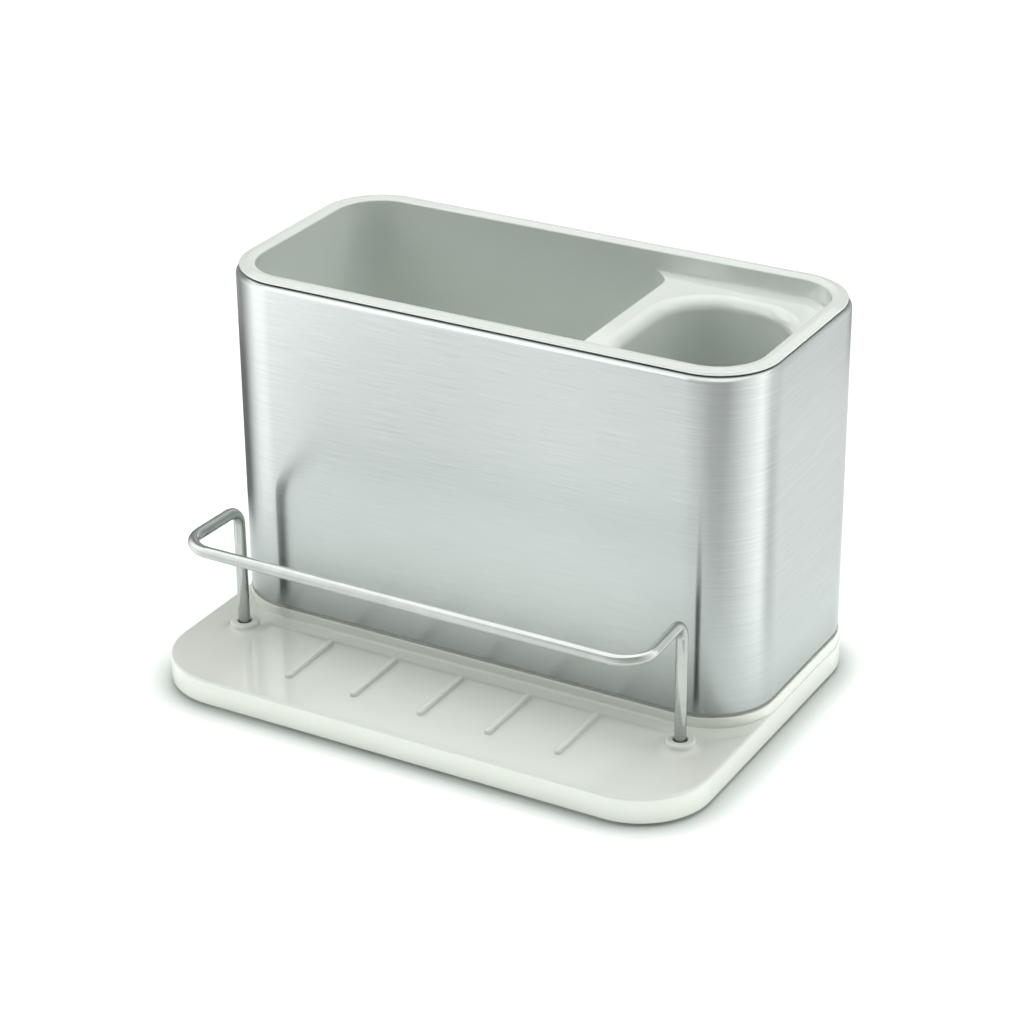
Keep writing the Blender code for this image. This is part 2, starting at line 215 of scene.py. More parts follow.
def inRow(number, count, pitch):
    # Where this one stands in a row spaced evenly about its middle.
    return (number - (count - 1) / 2) * pitch


def dress(piece, material, body, node):
    piece.data.materials.clear()
    piece.data.materials.append(material)
    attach(piece, body)
    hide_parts(node)
    print("made", piece.name, "with", len(piece.data.polygons), "faces")


# Materials
def linear(code):
    # An sRGB hex colour as linear values.
    channels = [int(code[place:place + 2], 16) / 255 for place in (1, 3, 5)]
    return [value / 12.92 if value < 0.04045 else ((value + 0.055) / 1.055) ** 2.4
            for value in channels] + [1]


def addNode(tree, kind, settings, links):
    # A setting is an input's fixed value or a property; a link is an input and what feeds it.
    node = tree.nodes.new(kind)
    for key, value in settings.items():
        if isinstance(key, int) or key in node.inputs:
            node.inputs[key].default_value = value
        else:
            setattr(node, key, value)
    for key, source in links.items():
        tree.links.new(source, node.inputs[key])
    return node


def newMaterial(name, settings):
    # A material with its shader's fixed values set, and the place on the piece that patterns read.
    material = bpy.data.materials.new(name)
    material.use_nodes = True
    tree = material.node_tree
    shader = tree.nodes["Principled BSDF"]
    for key, value in settings.items():
        shader.inputs[key].default_value = value
    place = addNode(tree, "ShaderNodeTexCoord", {}, {}).outputs["Object"]
    return material, tree, shader, place


def unevenFinish(tree, shader, look, pattern):
    # Colour and polish both drift with the pattern between their two values; it returns the colour.
    glossiest, dullest = look["polish"]
    polish = addNode(tree, "ShaderNodeMapRange", {"To Min": glossiest, "To Max": dullest},
                     {"Value": pattern})
    tree.links.new(polish.outputs["Result"], shader.inputs["Roughness"])
    shades = addNode(tree, "ShaderNodeMix",
                     {"data_type": "RGBA", "A": linear(look["dark"]), "B": linear(look["light"])},
                     {"Factor": pattern})
    return shades.outputs["Result"]


def paintNookShade(tree, look, colour):
    # Painted shade: the metal's colour is darkened towards a dark shade colour where another piece
    # stands close to it; it returns the colour.
    openness = addNode(tree, "ShaderNodeAmbientOcclusion",
                       {"Distance": look["shadeReach"] * mm, "samples": 8}, {})
    shadedColour = addNode(tree, "ShaderNodeMix", {"data_type": "RGBA", "A": linear(look["paintedShade"])},
                    {"Factor": openness.outputs["AO"], "B": colour})
    return shadedColour.outputs["Result"]


def mouldedPlastic(name, look):
    # Glossy injection-moulded ABS: its polished skin is the coat; a faint orange peel stirs the
    # gloss, and colour and polish are barely uneven.
    material, tree, shader, place = newMaterial(name, {
        "IOR": 1.55, "Coat Weight": look["skin"], "Coat Roughness": 0.03, "Coat IOR": 1.6})
    clouds = addNode(tree, "ShaderNodeTexNoise",
                     {"Scale": 1 / (look["clouds"] * mm), "Detail": 3.0}, {"Vector": place})
    colour = unevenFinish(tree, shader, look, clouds.outputs["Fac"])
    tree.links.new(colour, shader.inputs["Base Color"])
    peel = addNode(tree, "ShaderNodeTexNoise", {"Scale": 1 / (look["peel"] * mm), "Detail": 1.0},
                   {"Vector": place})
    bump = addNode(tree, "ShaderNodeBump",
                   {"Strength": look["peelStrength"], "Distance": look["peelDepth"] * mm},
                   {"Height": peel.outputs["Fac"]})
    tree.links.new(bump.outputs["Normal"], shader.inputs["Normal"])
    return material


def brushedSteel(name, look):
    # Stainless sheet brushed round the band: long fine scratches that smear every reflection up and
    # down, drawn a little coarser than real ones so that they show.
    material, tree, shader, place = newMaterial(name, {
        "Metallic": 1.0, "Anisotropic": look["anisotropic"], "Anisotropic Rotation": 0.25})
    along, across = 1 / (look["streakLength"] * mm), 1 / (look["streakWidth"] * mm)
    stretched = addNode(tree, "ShaderNodeMapping", {"Scale": (along, along, across)},
                        {"Vector": place})
    streaks = addNode(tree, "ShaderNodeTexNoise", {"Scale": 1.0, "Detail": 5.0, "Roughness": 0.7},
                      {"Vector": stretched.outputs["Vector"]})
    spread = addNode(tree, "ShaderNodeMapRange",
                     {"From Min": look["streakRange"][0], "From Max": look["streakRange"][1]},
                     {"Value": streaks.outputs["Fac"]})
    colour = unevenFinish(tree, shader, look, spread.outputs["Result"])
    # Painted shade: the steel is painted darker near its foot and under the rim, where other pieces
    # stand close.
    tree.links.new(paintNookShade(tree, look, colour), shader.inputs["Base Color"])
    bump = addNode(tree, "ShaderNodeBump",
                   {"Strength": look["grooves"], "Distance": look["grooveDepth"] * mm},
                   {"Height": streaks.outputs["Fac"]})
    tree.links.new(bump.outputs["Normal"], shader.inputs["Normal"])
    return material


def drawnWire(name, look):
    # Polished stainless wire: nearly a mirror, with slight waves from drawing and bending.
    material, tree, shader, place = newMaterial(name, {"Metallic": 1.0})
    waves = addNode(tree, "ShaderNodeTexNoise", {"Scale": 1 / (look["waves"] * mm), "Detail": 2.0},
                    {"Vector": place})
    colour = unevenFinish(tree, shader, look, waves.outputs["Fac"])
    # Painted shade: the wire is painted darker where it stands close to the sleeve and the tray.
    tree.links.new(paintNookShade(tree, look, colour), shader.inputs["Base Color"])
    return material


def mattRubber(name, look):
    # Moulded thermoplastic rubber: dull, with a fine grain that scatters the light.
    material, tree, shader, place = newMaterial(name, {"IOR": 1.5, "Specular IOR Level": 0.3})
    grain = addNode(tree, "ShaderNodeTexNoise", {"Scale": 1 / (look["grain"] * mm), "Detail": 4.0},
                    {"Vector": place})
    colour = unevenFinish(tree, shader, look, grain.outputs["Fac"])
    tree.links.new(colour, shader.inputs["Base Color"])
    bump = addNode(tree, "ShaderNodeBump",
                   {"Strength": look["grainStrength"], "Distance": look["grainDepth"] * mm},
                   {"Height": grain.outputs["Fac"]})
    tree.links.new(bump.outputs["Normal"], shader.inputs["Normal"])
    return material


trayPlastic = mouldedPlastic("glossy moulded ABS", {
    "light": "#EEF3EA", "dark": "#EAEFE6", "polish": (0.03, 0.06), "skin": 0.6, "clouds": 18.0,
    "peel": 2.4, "peelStrength": 0.03, "peelDepth": 0.03,
})
insertPlastic = mouldedPlastic("polished moulded ABS", {
    "light": "#E6EDE8", "dark": "#E1E9E3", "polish": (0.03, 0.06), "skin": 0.6, "clouds": 22.0,
    "peel": 2.4, "peelStrength": 0.03, "peelDepth": 0.03,
})
sheetSteel = brushedSteel("brushed stainless sheet", {
    "light": "#CBD1D0", "dark": "#BFC6C4", "polish": (0.20, 0.24), "anisotropic": 0.95,
    "streakLength": 22.0, "streakWidth": 0.30, "streakRange": (0.34, 0.66),
    # The dark colour and its reach in the next two entries are painted shade for places close to
    # other pieces.
    "grooves": 0.04, "grooveDepth": 0.02, "paintedShade": "#404645", "shadeReach": 30.0,
})
wireSteel = drawnWire("polished stainless wire", {
    "light": "#CACECB", "dark": "#B6BBB8", "polish": (0.05, 0.09), "waves": 5.0,
    # The dark colour and its reach on the next line are painted shade for places close to other
    # pieces.
    "paintedShade": "#3C403F", "shadeReach": 22.0,
})
footRubber = mattRubber("moulded grey rubber", {
    "light": "#8C8F8E", "dark": "#7F8281", "polish": (0.70, 0.85),
    "grain": 0.5, "grainStrength": 0.4, "grainDepth": 0.1,
})


# Steel sleeve: one band, its top edge rolled in over a small shoulder
sleeveSizes = {
    "corner": 23.2,
    "shoulder": 2.0,
    "lip": 4.0,
    "sheet": 0.8,
    "cutEdge": 0.12,
    "footRound": 0.6,
}


def outerFoot(edge):
    # The lower outer edge of the sheet: it borders a face that looks away from the band's middle.
    middle = Vector((0, sleeveMiddle)) * mm
    looksOut = [face.normal.xy.dot(face.calc_center_median().xy - middle) > mm
                for face in edge.link_faces]
    atFoot = [abs(vertex.co.z / mm - sleeveLow.z) < near for vertex in edge.verts]
    return any(looksOut) and all(atFoot)


def makeSleeve():
    sizes = sleeveSizes
    shoulder = sizes["shoulder"]
    sleeve = sleeveBlock("steel_band", 0, sleeveLow.z, sleeveHigh.z - shoulder)
    moves = wallToFlat(shoulder, shoulder, steps=8) + [(sizes["lip"] - shoulder, 0)]
    shapeCap(sleeve, sleeveHigh.z - shoulder, 1, moves, leaveOpen=True)
    shapeCap(sleeve, sleeveLow.z, -1, [], leaveOpen=True)
    applyModifier(sleeve, "SOLIDIFY", {"thickness": sizes["sheet"] * mm, "offset": -1,
                                       "use_even_offset": True})
    openMesh(sleeve, "EDGE", outerFoot)
    roundEdges(sizes["footRound"], segments=5)
    closeMesh()
    applyModifier(sleeve, "BEVEL", {"width": sizes["cutEdge"] * mm, "segments": 2,
                                    "limit_method": "ANGLE", "angle_limit": math.radians(60)})
    smooth(sleeve)
    return sleeve


dress(makeSleeve(), sheetSteel, "sleeve", "steel_sleeve")


# Drip tray with its plinth, locating ring, sump, collars, ridges and webs
traySizes = {
    "shelf": 9.3,
    "frontCorner": 25.5,
    "backCorner": 24.1,
    "wall": 2.2,
    "skin": 2.2,
    "topRound": 1.0,
    "footRound": 0.8,
    "undersideLift": 0.4,
    "plinthStep": 0.4,
    "plinthRound": 0.5,
    "plinthFillet": 1.0,
    "seam": 0.8,
    "locatorGap": 1.1,
    "locatorWall": 2.0,
    "locatorRound": 0.8,
    "sumpFloor": 2.2,
    "sumpRound": 3.0,
}
ridgeSizes = {
    "count": 5,
    "pitch": 25.7,
    "width": 2.6,
    "height": 1.5,
    "crownRound": 0.7,
    "endFlat": 0.15,
    "frontGap": 14.3,
    "backGap": 7.7,
}
collarSizes = {
    "side": 83.9,
    "legGap": 12.6,
    "radius": 5.1,
    "height": 3.1,
    "topRound": 1.0,
    "flareSpread": 4.6,
    "flareRise": 1.8,
    "flareRoot": 1.1,
    "stemDrop": 0.6,
    "socket": 2.3,
    "mouth": 0.7,
    "socketFloor": 1.4,
}
footSizes = {
    "radius": 6.0,
    "recess": 1.0,
    "gap": 0.3,
    "edge": 0.4,
    "rim": 1.6,
    "dish": 0.3,
    "inset": 18.0,
    "bossWall": 1.5,
}
webSizes = {
    "thickness": 1.2,
    "count": 4,
    "rootIn": 0.5,
    "lift": 0.1,
}
shelfRoot = 1.0  # how deep what stands on the shelf goes into it
shelfTop = trayLow.z + traySizes["shelf"]
plinthTop = sleeveLow.z - traySizes["seam"]
underside = trayLow.z + traySizes["undersideLift"]
legY = sleeveLow.y - collarSizes["legGap"]
footPlaces = {
    "foot_front_left": (-1, -1),
    "foot_front_right": (1, -1),
    "foot_back_left": (-1, 1),
    "foot_back_right": (1, 1),
}


def footCentre(place):
    side, end = footPlaces[place]
    return side * (trayHigh.x - footSizes["inset"]), end * (trayHigh.y - footSizes["inset"])


def makePan():
    sizes = traySizes
    low = (trayLow.x, trayLow.y, trayLow.z + sizes["footRound"])
    high = (trayHigh.x, trayHigh.y, shelfTop - sizes["topRound"])
    pan = startBlock("drip_tray", low, high)
    roundCorners(pan, sizes["frontCorner"], lambda place: place.y < 0)
    roundCorners(pan, sizes["backCorner"], lambda place: abs(place.y - trayHigh.y) < near)
    shapeCap(pan, high[2], 1, wallToFlat(sizes["topRound"], sizes["topRound"], steps=6))
    hollow = shelfTop - sizes["skin"] - trayLow.z
    shapeCap(pan, low[2], -1, wallToFlat(sizes["footRound"], sizes["footRound"], steps=4)
             + [(sizes["wall"] - sizes["footRound"], 0), (0, -hollow)])
    opening = sleeveBlock("opening", sizes["locatorGap"], shelfTop - sizes["skin"] - cutPast,
                          shelfTop + cutPast)
    combine(pan, opening, "DIFFERENCE")
    return pan


def makePlinth():
    # From the plinth's wall over the ledge, up the locating ring, and down into the sump.
    sizes = traySizes
    wallTop = plinthTop - sizes["plinthRound"]
    plinth = sleeveBlock("plinth", -sizes["plinthStep"], underside, wallTop)
    ledge = sizes["locatorGap"] + sizes["plinthStep"] - sizes["plinthRound"]
    ring = sizes["locatorRound"]
    sumpTop = underside + sizes["sumpFloor"]
    moves = wallToFlat(sizes["plinthRound"], sizes["plinthRound"], steps=5)
    moves += [(ledge, 0), (0, trayHigh.z - ring - plinthTop)]
    moves += wallToFlat(ring, ring, steps=5)
    moves += [(sizes["locatorWall"] - ring, 0), (0, sumpTop + sizes["sumpRound"] - trayHigh.z)]
    moves += wallToFlat(sizes["sumpRound"], -sizes["sumpRound"], steps=6)
    shapeCap(plinth, wallTop, 1, moves)
    return plinth


def makeFootFlare():
    # The small fillet where the plinth's front stands on the shelf; it runs out at the sides.
    sizes = traySizes
    spread = sizes["plinthFillet"]
    side = sleeveHigh.x + sizes["plinthStep"] - overlap
    front = sleeveLow.y - sizes["plinthStep"] - spread
    base = shelfTop - overlap / 2
    flare = startBlock("flare", (-side, front, shelfTop - shelfRoot), (side, sleeveMiddle, base))
    corner = sizes["plinthStep"] + sleeveSizes["corner"] + spread
    roundCorners(flare, corner, lambda place: place.y < 0)
    shapeCap(flare, base, 1, flatToWall(spread + overlap, spread, steps=6))
    return flare


def makeCollar(side):
    sizes = collarSizes
    centre = (side * sizes["side"], legY)
    base = shelfTop - overlap
    collar = startDisc("collar", centre, sizes["radius"] + sizes["flareSpread"],
                       shelfTop - sizes["flareRoot"], base, sides=64)
    rise = sizes["height"] - sizes["flareRise"] - sizes["topRound"]
    moves = flatToWall(sizes["flareSpread"], sizes["flareRise"] + overlap, steps=8)
    moves += [(0, rise)] + wallToFlat(sizes["topRound"], sizes["topRound"], steps=8)
    shapeCap(collar, base, 1, moves)
    stem = startDisc("stem", centre, sizes["radius"], underside, shelfTop - sizes["stemDrop"],
                     sides=64)
    combine(collar, stem, "UNION")
    return collar


def makeSocket(side):
    sizes = collarSizes
    top = shelfTop + sizes["height"]
    wide = sizes["socket"] + sizes["mouth"]
    socket = startDisc("socket", (side * sizes["side"], legY), wide, top, top + cutPast, sides=48)
    depth = top - sizes["mouth"] - (underside + sizes["socketFloor"])
    shapeCap(socket, top, -1, flatToWall(sizes["mouth"], sizes["mouth"], steps=4) + [(0, depth)])
    return socket


def makeRidge():
    sizes = ridgeSizes
    half = sizes["width"] / 2
    front, back = trayLow.y + sizes["frontGap"], sleeveLow.y - sizes["backGap"]
    crown = sizes["crownRound"]
    wallTop = shelfTop + sizes["height"] - crown
    ridge = startBlock("ridge", (-half, front, shelfTop - shelfRoot), (half, back, wallTop))
    roundCorners(ridge, half - sizes["endFlat"], lambda place: True, segments=10)
    shapeCap(ridge, wallTop, 1, wallToFlat(crown, crown, steps=6))
    return ridge


def addWebs(tray):
    # One web runs across under the shelf, the others from front to back, and the front feet get
    # bosses.
    wall, rootIn = traySizes["wall"], webSizes["rootIn"]
    half = webSizes["thickness"] / 2
    low, top = underside + webSizes["lift"], shelfTop - traySizes["skin"] + rootIn
    side = trayHigh.x - wall + rootIn
    front, back = trayLow.y + wall - rootIn, sleeveLow.y - traySizes["plinthStep"] + rootIn
    middle = (trayLow.y + wall + sleeveLow.y) / 2
    web = startBlock("web", (-side, middle - half, low), (side, middle + half, top))
    combine(tray, web, "UNION")
    for number in range(webSizes["count"]):
        across = inRow(number, webSizes["count"], ridgeSizes["pitch"])
        web = startBlock("web", (across - half, front, underside), (across + half, back, top))
        combine(tray, web, "UNION")
    bossRadius = footSizes["radius"] + footSizes["gap"] + footSizes["bossWall"]
    for place in ("foot_front_left", "foot_front_right"):
        boss = startDisc("boss", footCentre(place), bossRadius, low, top, sides=48)
        combine(tray, boss, "UNION")


def makeTray():
    tray = makePan()
    combine(tray, makePlinth(), "UNION")
    combine(tray, makeFootFlare(), "UNION")
    addWebs(tray)
    for side in (-1, 1):
        combine(tray, makeCollar(side), "UNION")
    ridge = makeRidge()
    for number in range(ridgeSizes["count"]):
        across = inRow(number, ridgeSizes["count"], ridgeSizes["pitch"])
        combine(tray, copyOf(ridge, "ridge_copy", (across, 0, 0)), "UNION")
    bpy.data.objects.remove(ridge, do_unlink=True)
    for side in (-1, 1):
        combine(tray, makeSocket(side), "DIFFERENCE")
    pocketRadius = footSizes["radius"] + footSizes["gap"]
    for place in footPlaces:
        pocket = startDisc("pocket", footCentre(place), pocketRadius, trayLow.z - cutPast,
                           underside + footSizes["recess"], sides=48)
        combine(tray, pocket, "DIFFERENCE")
    smooth(tray)
    return tray


dress(makeTray(), trayPlastic, "base", "base_tray")


# Rubber feet: one is shaped, the others are copies
def makeFoot():
    sizes = footSizes
    edge = sizes["edge"]
    top = underside + sizes["recess"] - sizes["gap"]
    foot = startDisc("foot", (0, 0), sizes["radius"], edge, top - edge, sides=48)
    shapeCap(foot, top - edge, 1, wallToFlat(edge, edge, steps=4))
    shapeCap(foot, edge, -1, wallToFlat(edge, edge, steps=4)
             + [(sizes["rim"], 0), (sizes["dish"], -sizes["dish"])])
    smooth(foot)
    return foot


foot = makeFoot()
for place in footPlaces:
    padding = copyOf(foot, "rubber_" + place, (*footCentre(place), 0))
    dress(padding, footRubber, "base", place)
bpy.data.objects.remove(foot, do_unlink=True)


# Wire rail: a disc is swept up the leg, round the shoulder, along the arm and round the elbow, then
# mirrored
railSizes = {
    "wire": 4.0,
    "splay": 1.5,
    "shoulder": 5.7,
    "elbow": 10.5,
    "sides": 40,
    "bendSteps": 16,
    "endRound": 0.5,
    "legStart": 10.0,
    "smoothAngle": 40,
}


def makeRail():
    sizes = railSizes
    radius, endRound = sizes["wire"] / 2, sizes["endRound"]
    barY, axisTop = railLow.y + radius, railHigh.z - radius
    shoulder = Vector((-collarSizes["side"], legY, axisTop))
    elbow = Vector((-collarSizes["side"] - sizes["splay"], barY, axisTop))
    up, right = Vector((0, 0, 1)), Vector((1, 0, 0))
    arm = (elbow - shoulder).normalized()
    legFoot, legTop = railLow.z + endRound, railLow.z + sizes["legStart"]
    rail = startDisc("bent_wire", shoulder[:2], radius, legFoot, legTop, sizes["sides"])
    shapeCap(rail, legFoot, -1, wallToFlat(endRound, endRound, steps=4))
    openMesh(rail, "FACE", lambda face: looksAlong(face, 1))
    here = Vector((*shoulder[:2], legTop))
    bends = (
        (shoulder, up, arm, sizes["shoulder"]),
        (elbow, arm, right, sizes["elbow"]),
    )
    for corner, before, after, bend in bends:
        whole = before.angle(after)
        start = corner - before * bend * math.tan(whole / 2)
        bpy.ops.mesh.extrude_region_move(TRANSFORM_OT_translate={"value": (start - here) * mm})
        inward = (after - before * before.dot(after)).normalized()
        bpy.ops.mesh.spin(steps=sizes["bendSteps"], angle=whole,
                          center=(start + inward * bend) * mm,
                          axis=after.cross(before).normalized())
        here = corner + after * bend * math.tan(whole / 2)
    middle = Vector((0, barY, axisTop))
    bpy.ops.mesh.extrude_region_move(TRANSFORM_OT_translate={"value": (middle - here) * mm})
    bpy.ops.mesh.delete(type="FACE")
    closeMesh()
    applyModifier(rail, "MIRROR", {"use_axis": (True, False, False), "use_mirror_merge": True,
                                   "merge_threshold": near * mm})
    openMesh(rail, "FACE", lambda face: True)
    bpy.ops.mesh.remove_doubles(threshold=weldReach * mm)
    bpy.ops.mesh.normals_make_consistent(inside=False)
    closeMesh()
    smooth(rail, sizes["smoothAngle"])
    return rail


dress(makeRail(), wireSteel, "rail", "wire_rail")


# Moulded insert: rim, long compartment, divider, sunk plate and brush well
insertSizes = {
    "rimLift": 0.3,
    "rimInset": 1.2,
    "rimWidth": 5.5,
    "rimOuterRound": 0.8,
    "rimInnerRound": 1.0,
    "rimUnderRound": 0.7,
    "rimCrown": 0.3,
    "rimRidge": 0.25,
    "wall": 2.2,
    "floor": 2.2,
    "taper": 1.0,
    "baseRound": 2.2,
    "floorRound": 3.0,
}
wellSizes = {
    "plateDrop": 8.5,
    "plateLength": 63.8,
    "plateSkin": 2.2,
    "plateFillet": 2.7,
    "dividerFlare": 8.0,
    "wallReach": 1.2,
    "endReach": 0.5,
    "recessReach": 0.03,
    "coreGap": 0.3,
    "coreCorner": 2.0,
    "sideLand": 9.15,
    "endLand": 10.45,
    "corner": 19.0,
    "roll": 4.5,
    "wall": 2.0,
}
drainSizes = {
    "radius": 2.5,
    "count": 5,
    "pitch": 20.0,
    "wellCount": 3,
    "wellPitch": 13.0,
}
rimUnder = sleeveHigh.z + insertSizes["rimLift"]
rimTop = insertHigh.z
rimInner = insertSizes["rimInset"] + insertSizes["rimWidth"]
floorTop = insertLow.z + insertSizes["floor"]
plateTop = rimTop - wellSizes["plateDrop"]
innerRight = sleeveHigh.x - rimInner
plateLeft = innerRight - wellSizes["plateLength"]
wellMiddle = innerRight - wellSizes["plateLength"] / 2


def wallInset(height):
    # The insert's walls lean in towards its floor, as they draw from the mould.
    head = rimTop - insertSizes["rimInnerRound"]
    foot = floorTop + insertSizes["floorRound"]
    return rimInner + insertSizes["taper"] * (head - height) / (head - foot)


def makeShell():
    sizes = insertSizes
    outerRound, innerRound = sizes["rimOuterRound"], sizes["rimInnerRound"]
    underRound = sizes["rimUnderRound"]
    taper, crown, ridge = sizes["taper"], sizes["rimCrown"], sizes["rimRidge"]
    low, high = rimUnder + underRound, rimTop - outerRound
    shell = sleeveBlock("moulded_insert", sizes["rimInset"], low, high)
    flat = sizes["rimWidth"] - outerRound - innerRound
    slope = flat / 2 - ridge
    head, foot = rimTop - innerRound, floorTop + sizes["floorRound"]
    moves = wallToFlat(outerRound, outerRound - crown, steps=6)
    moves += [(slope, crown), (2 * ridge, 0), (slope, -crown)]
    moves += flatToWall(innerRound, crown - innerRound, steps=8)
    moves += [(taper, foot - head)]
    moves += wallToFlat(sizes["floorRound"], -sizes["floorRound"], steps=8)
    shapeCap(shell, high, 1, moves)
    under = rimInner - sizes["wall"] - sizes["rimInset"]
    moves = wallToFlat(underRound, underRound, steps=4) + [(under - underRound, 0)]
    moves += [(taper, rimUnder - insertLow.z - sizes["baseRound"])]
    moves += wallToFlat(sizes["baseRound"], sizes["baseRound"], steps=6)
    shapeCap(shell, low, -1, moves)
    return shell


def leaningBlock(name, left, right, low, high, spread, corners, segments=24):
    # A block between the insert's leaning long walls; its ends reach into those walls by spread.
    topInset, footInset = wallInset(high) - spread, wallInset(low) - spread
    block = startBlock(name, (left, sleeveLow.y + topInset, low),
                       (right, sleeveHigh.y - topInset, high))
    for radius, wanted in corners:
        roundCorners(block, radius, wanted, segments)
    half = (sleeveHigh.y - sleeveLow.y) / 2
    openMesh(block, "FACE", lambda face: looksAlong(face, -1))
    bpy.ops.transform.resize(value=(1, (half - footInset) / (half - topInset), 1),
                             center_override=Vector((0, sleeveMiddle, low)) * mm)
    closeMesh()
    return block


def makeHousing():
    # The block that carries the plate: its left face flares into the long walls of the compartment.
    sizes = wellSizes
    low, high = insertLow.z + sizes["endReach"], plateTop + sizes["plateFillet"] + sizes["endReach"]
    reach = sizes["wallReach"]
    rightReach = reach - insertSizes["taper"]
    cornerRadius = sleeveSizes["corner"] - rimInner + rightReach
    housing = leaningBlock("housing", plateLeft - sizes["dividerFlare"], innerRight + rightReach,
                           low, high, reach, [(cornerRadius, lambda place: place.x > wellMiddle)])
    flare = leaningBlock("flare_cut", 0, plateLeft, low - cutPast / 2, high + cutPast / 2, overlap,
                         [(sizes["dividerFlare"], lambda place: place.x > plateLeft / 2)],
                         segments=16)
    combine(housing, flare, "DIFFERENCE")
    return housing


def makeRecess():
    # The space above the sunk plate, with a fillet where the plate meets the walls.
    sizes = wellSizes
    fillet = sizes["plateFillet"]
    low = plateTop + fillet
    recess = sleeveBlock("recess", wallInset(low) - sizes["recessReach"], low, rimTop + cutPast,
                         segments=24)
    shapeCap(recess, low, -1, wallToFlat(fillet, fillet, steps=6))
    return recess


def makeCore():
    # The space between the brush well and the walls, open underneath.
    sizes = wellSizes
    gap = sizes["coreGap"]
    low, high = insertLow.z - cutPast, plateTop - sizes["plateSkin"]
    wallCorner = sleeveSizes["corner"] - rimInner - gap
    core = leaningBlock("core", plateLeft + insertSizes["wall"], innerRight - gap, low, high, -gap,
                        [(wallCorner, lambda place: place.x > wellMiddle),
                         (sizes["coreCorner"], lambda place: place.x < wellMiddle)])
    tube = wellBlock("tube", sizes["wall"], low - cutPast, high + cutPast)
    combine(core, tube, "DIFFERENCE")
    return core


def wellBlock(name, growth, low, high):
    # A block with the brush well's outline in plan, larger all round by growth.
    sizes = wellSizes
    half = sizes["plateLength"] / 2 - sizes["sideLand"] + growth
    inset = rimInner + sizes["endLand"] - growth
    block = startBlock(name, (wellMiddle - half, sleeveLow.y + inset, low),
                       (wellMiddle + half, sleeveHigh.y - inset, high))
    roundCorners(block, sizes["corner"] + growth, lambda place: True)
    return block


def makeWell():
    # The brush well: its mouth rolls over into the plate and its floor has a soft round.
    roll, floorRound = wellSizes["roll"], insertSizes["floorRound"]
    top = plateTop + overlap
    well = wellBlock("well", roll, top, top + cutPast)
    moves = flatToWall(roll, roll, steps=12) + [(0, top - roll - floorTop - floorRound)]
    moves += wallToFlat(floorRound, floorRound, steps=8)
    shapeCap(well, top, -1, moves)
    return well


def makeInsert():
    insert = makeShell()
    housing = makeHousing()
    combine(housing, makeRecess(), "DIFFERENCE")
    combine(insert, housing, "UNION")
    combine(insert, makeCore(), "DIFFERENCE")
    combine(insert, makeWell(), "DIFFERENCE")
    sizes = drainSizes
    binMiddle = (plateLeft - innerRight) / 2
    centres = [(binMiddle + inRow(number, sizes["count"], sizes["pitch"]), sleeveMiddle)
               for number in range(sizes["count"])]
    centres += [(wellMiddle, sleeveMiddle + inRow(number, sizes["wellCount"], sizes["wellPitch"]))
                for number in range(sizes["wellCount"])]
    low, high = insertLow.z - cutPast, floorTop + cutPast
    for centre in centres:
        drain = startDisc("drain", centre, sizes["radius"], low, high, sides=40)
        combine(insert, drain, "DIFFERENCE")
    smooth(insert)
    return insert


dress(makeInsert(), insertPlastic, "insert", "caddy_insert")


# Camera at the photograph's place, its aim and distance in metres
cameraSizes = {
    "azimuth": 29.71,
    "elevation": 26.26,
    "roll": -0.56,
    "distance": 1.02569,
    "aim": (-0.010876, 0.024246, 0.046334),
    "lens": 104.6095,
    "sensor": 36,
    "farEnd": 20,
}


def makeCamera():
    sizes = cameraSizes
    facing = (Matrix.Rotation(math.radians(sizes["azimuth"]), 4, "Z")
              @ Matrix.Rotation(math.radians(90 - sizes["elevation"]), 4, "X")
              @ Matrix.Rotation(math.radians(sizes["roll"]), 4, "Z"))
    place = Vector(sizes["aim"]) + facing.to_3x3() @ Vector((0, 0, sizes["distance"]))
    bpy.ops.object.camera_add()
    camera = bpy.context.object
    camera.matrix_world = Matrix.Translation(place) @ facing
    camera.data.lens = sizes["lens"]
    camera.data.sensor_width = sizes["sensor"]
    camera.data.clip_end = sizes["farEnd"]
    bpy.context.scene.camera = camera


makeCamera()
print("camera placed")


# Studio, in metres: a pale floor and surround that metal shows as the camera does, soft lamps, and
# cards that only reflections see: a low ring close round the object, with one row of shades below
# and another above, and a white card overhead
studioSizes = {
    "floor": 8.0,
    "surround": 1.0,
    "ambient": 0.12,
    "floorPaint": "#CDD4D0",
    "floorGlow": 0.52,
    "floorBounce": 1.17,
    "farGlow": 0.5,
    "farFrom": 0.6,
    "farTo": 1.6,
    "contactShade": 0.010,
    "contactDepth": 3.0,
    "lampTint": (1.0, 0.985, 0.975),
    "aimHeight": 0.06,
}
lamps = {
    "overhead_softbox": {"heading": -20, "rise": 88, "away": 1.5, "size": (0.9, 0.9), "power": 4.6},
    "back_softbox": {"heading": 180, "rise": 76, "away": 1.5, "size": (1.1, 0.6), "power": 11.3},
    "left_softbox": {"heading": -44, "rise": 30, "away": 1.6, "size": (0.9, 0.9), "power": 4.9},
    "side_softbox": {"heading": -95, "rise": 30, "away": 1.6, "size": (0.9, 0.9), "power": 2.8},
    "right_softbox": {"heading": 108, "rise": 26, "away": 1.5, "size": (0.8, 0.8), "power": 5.2},
}
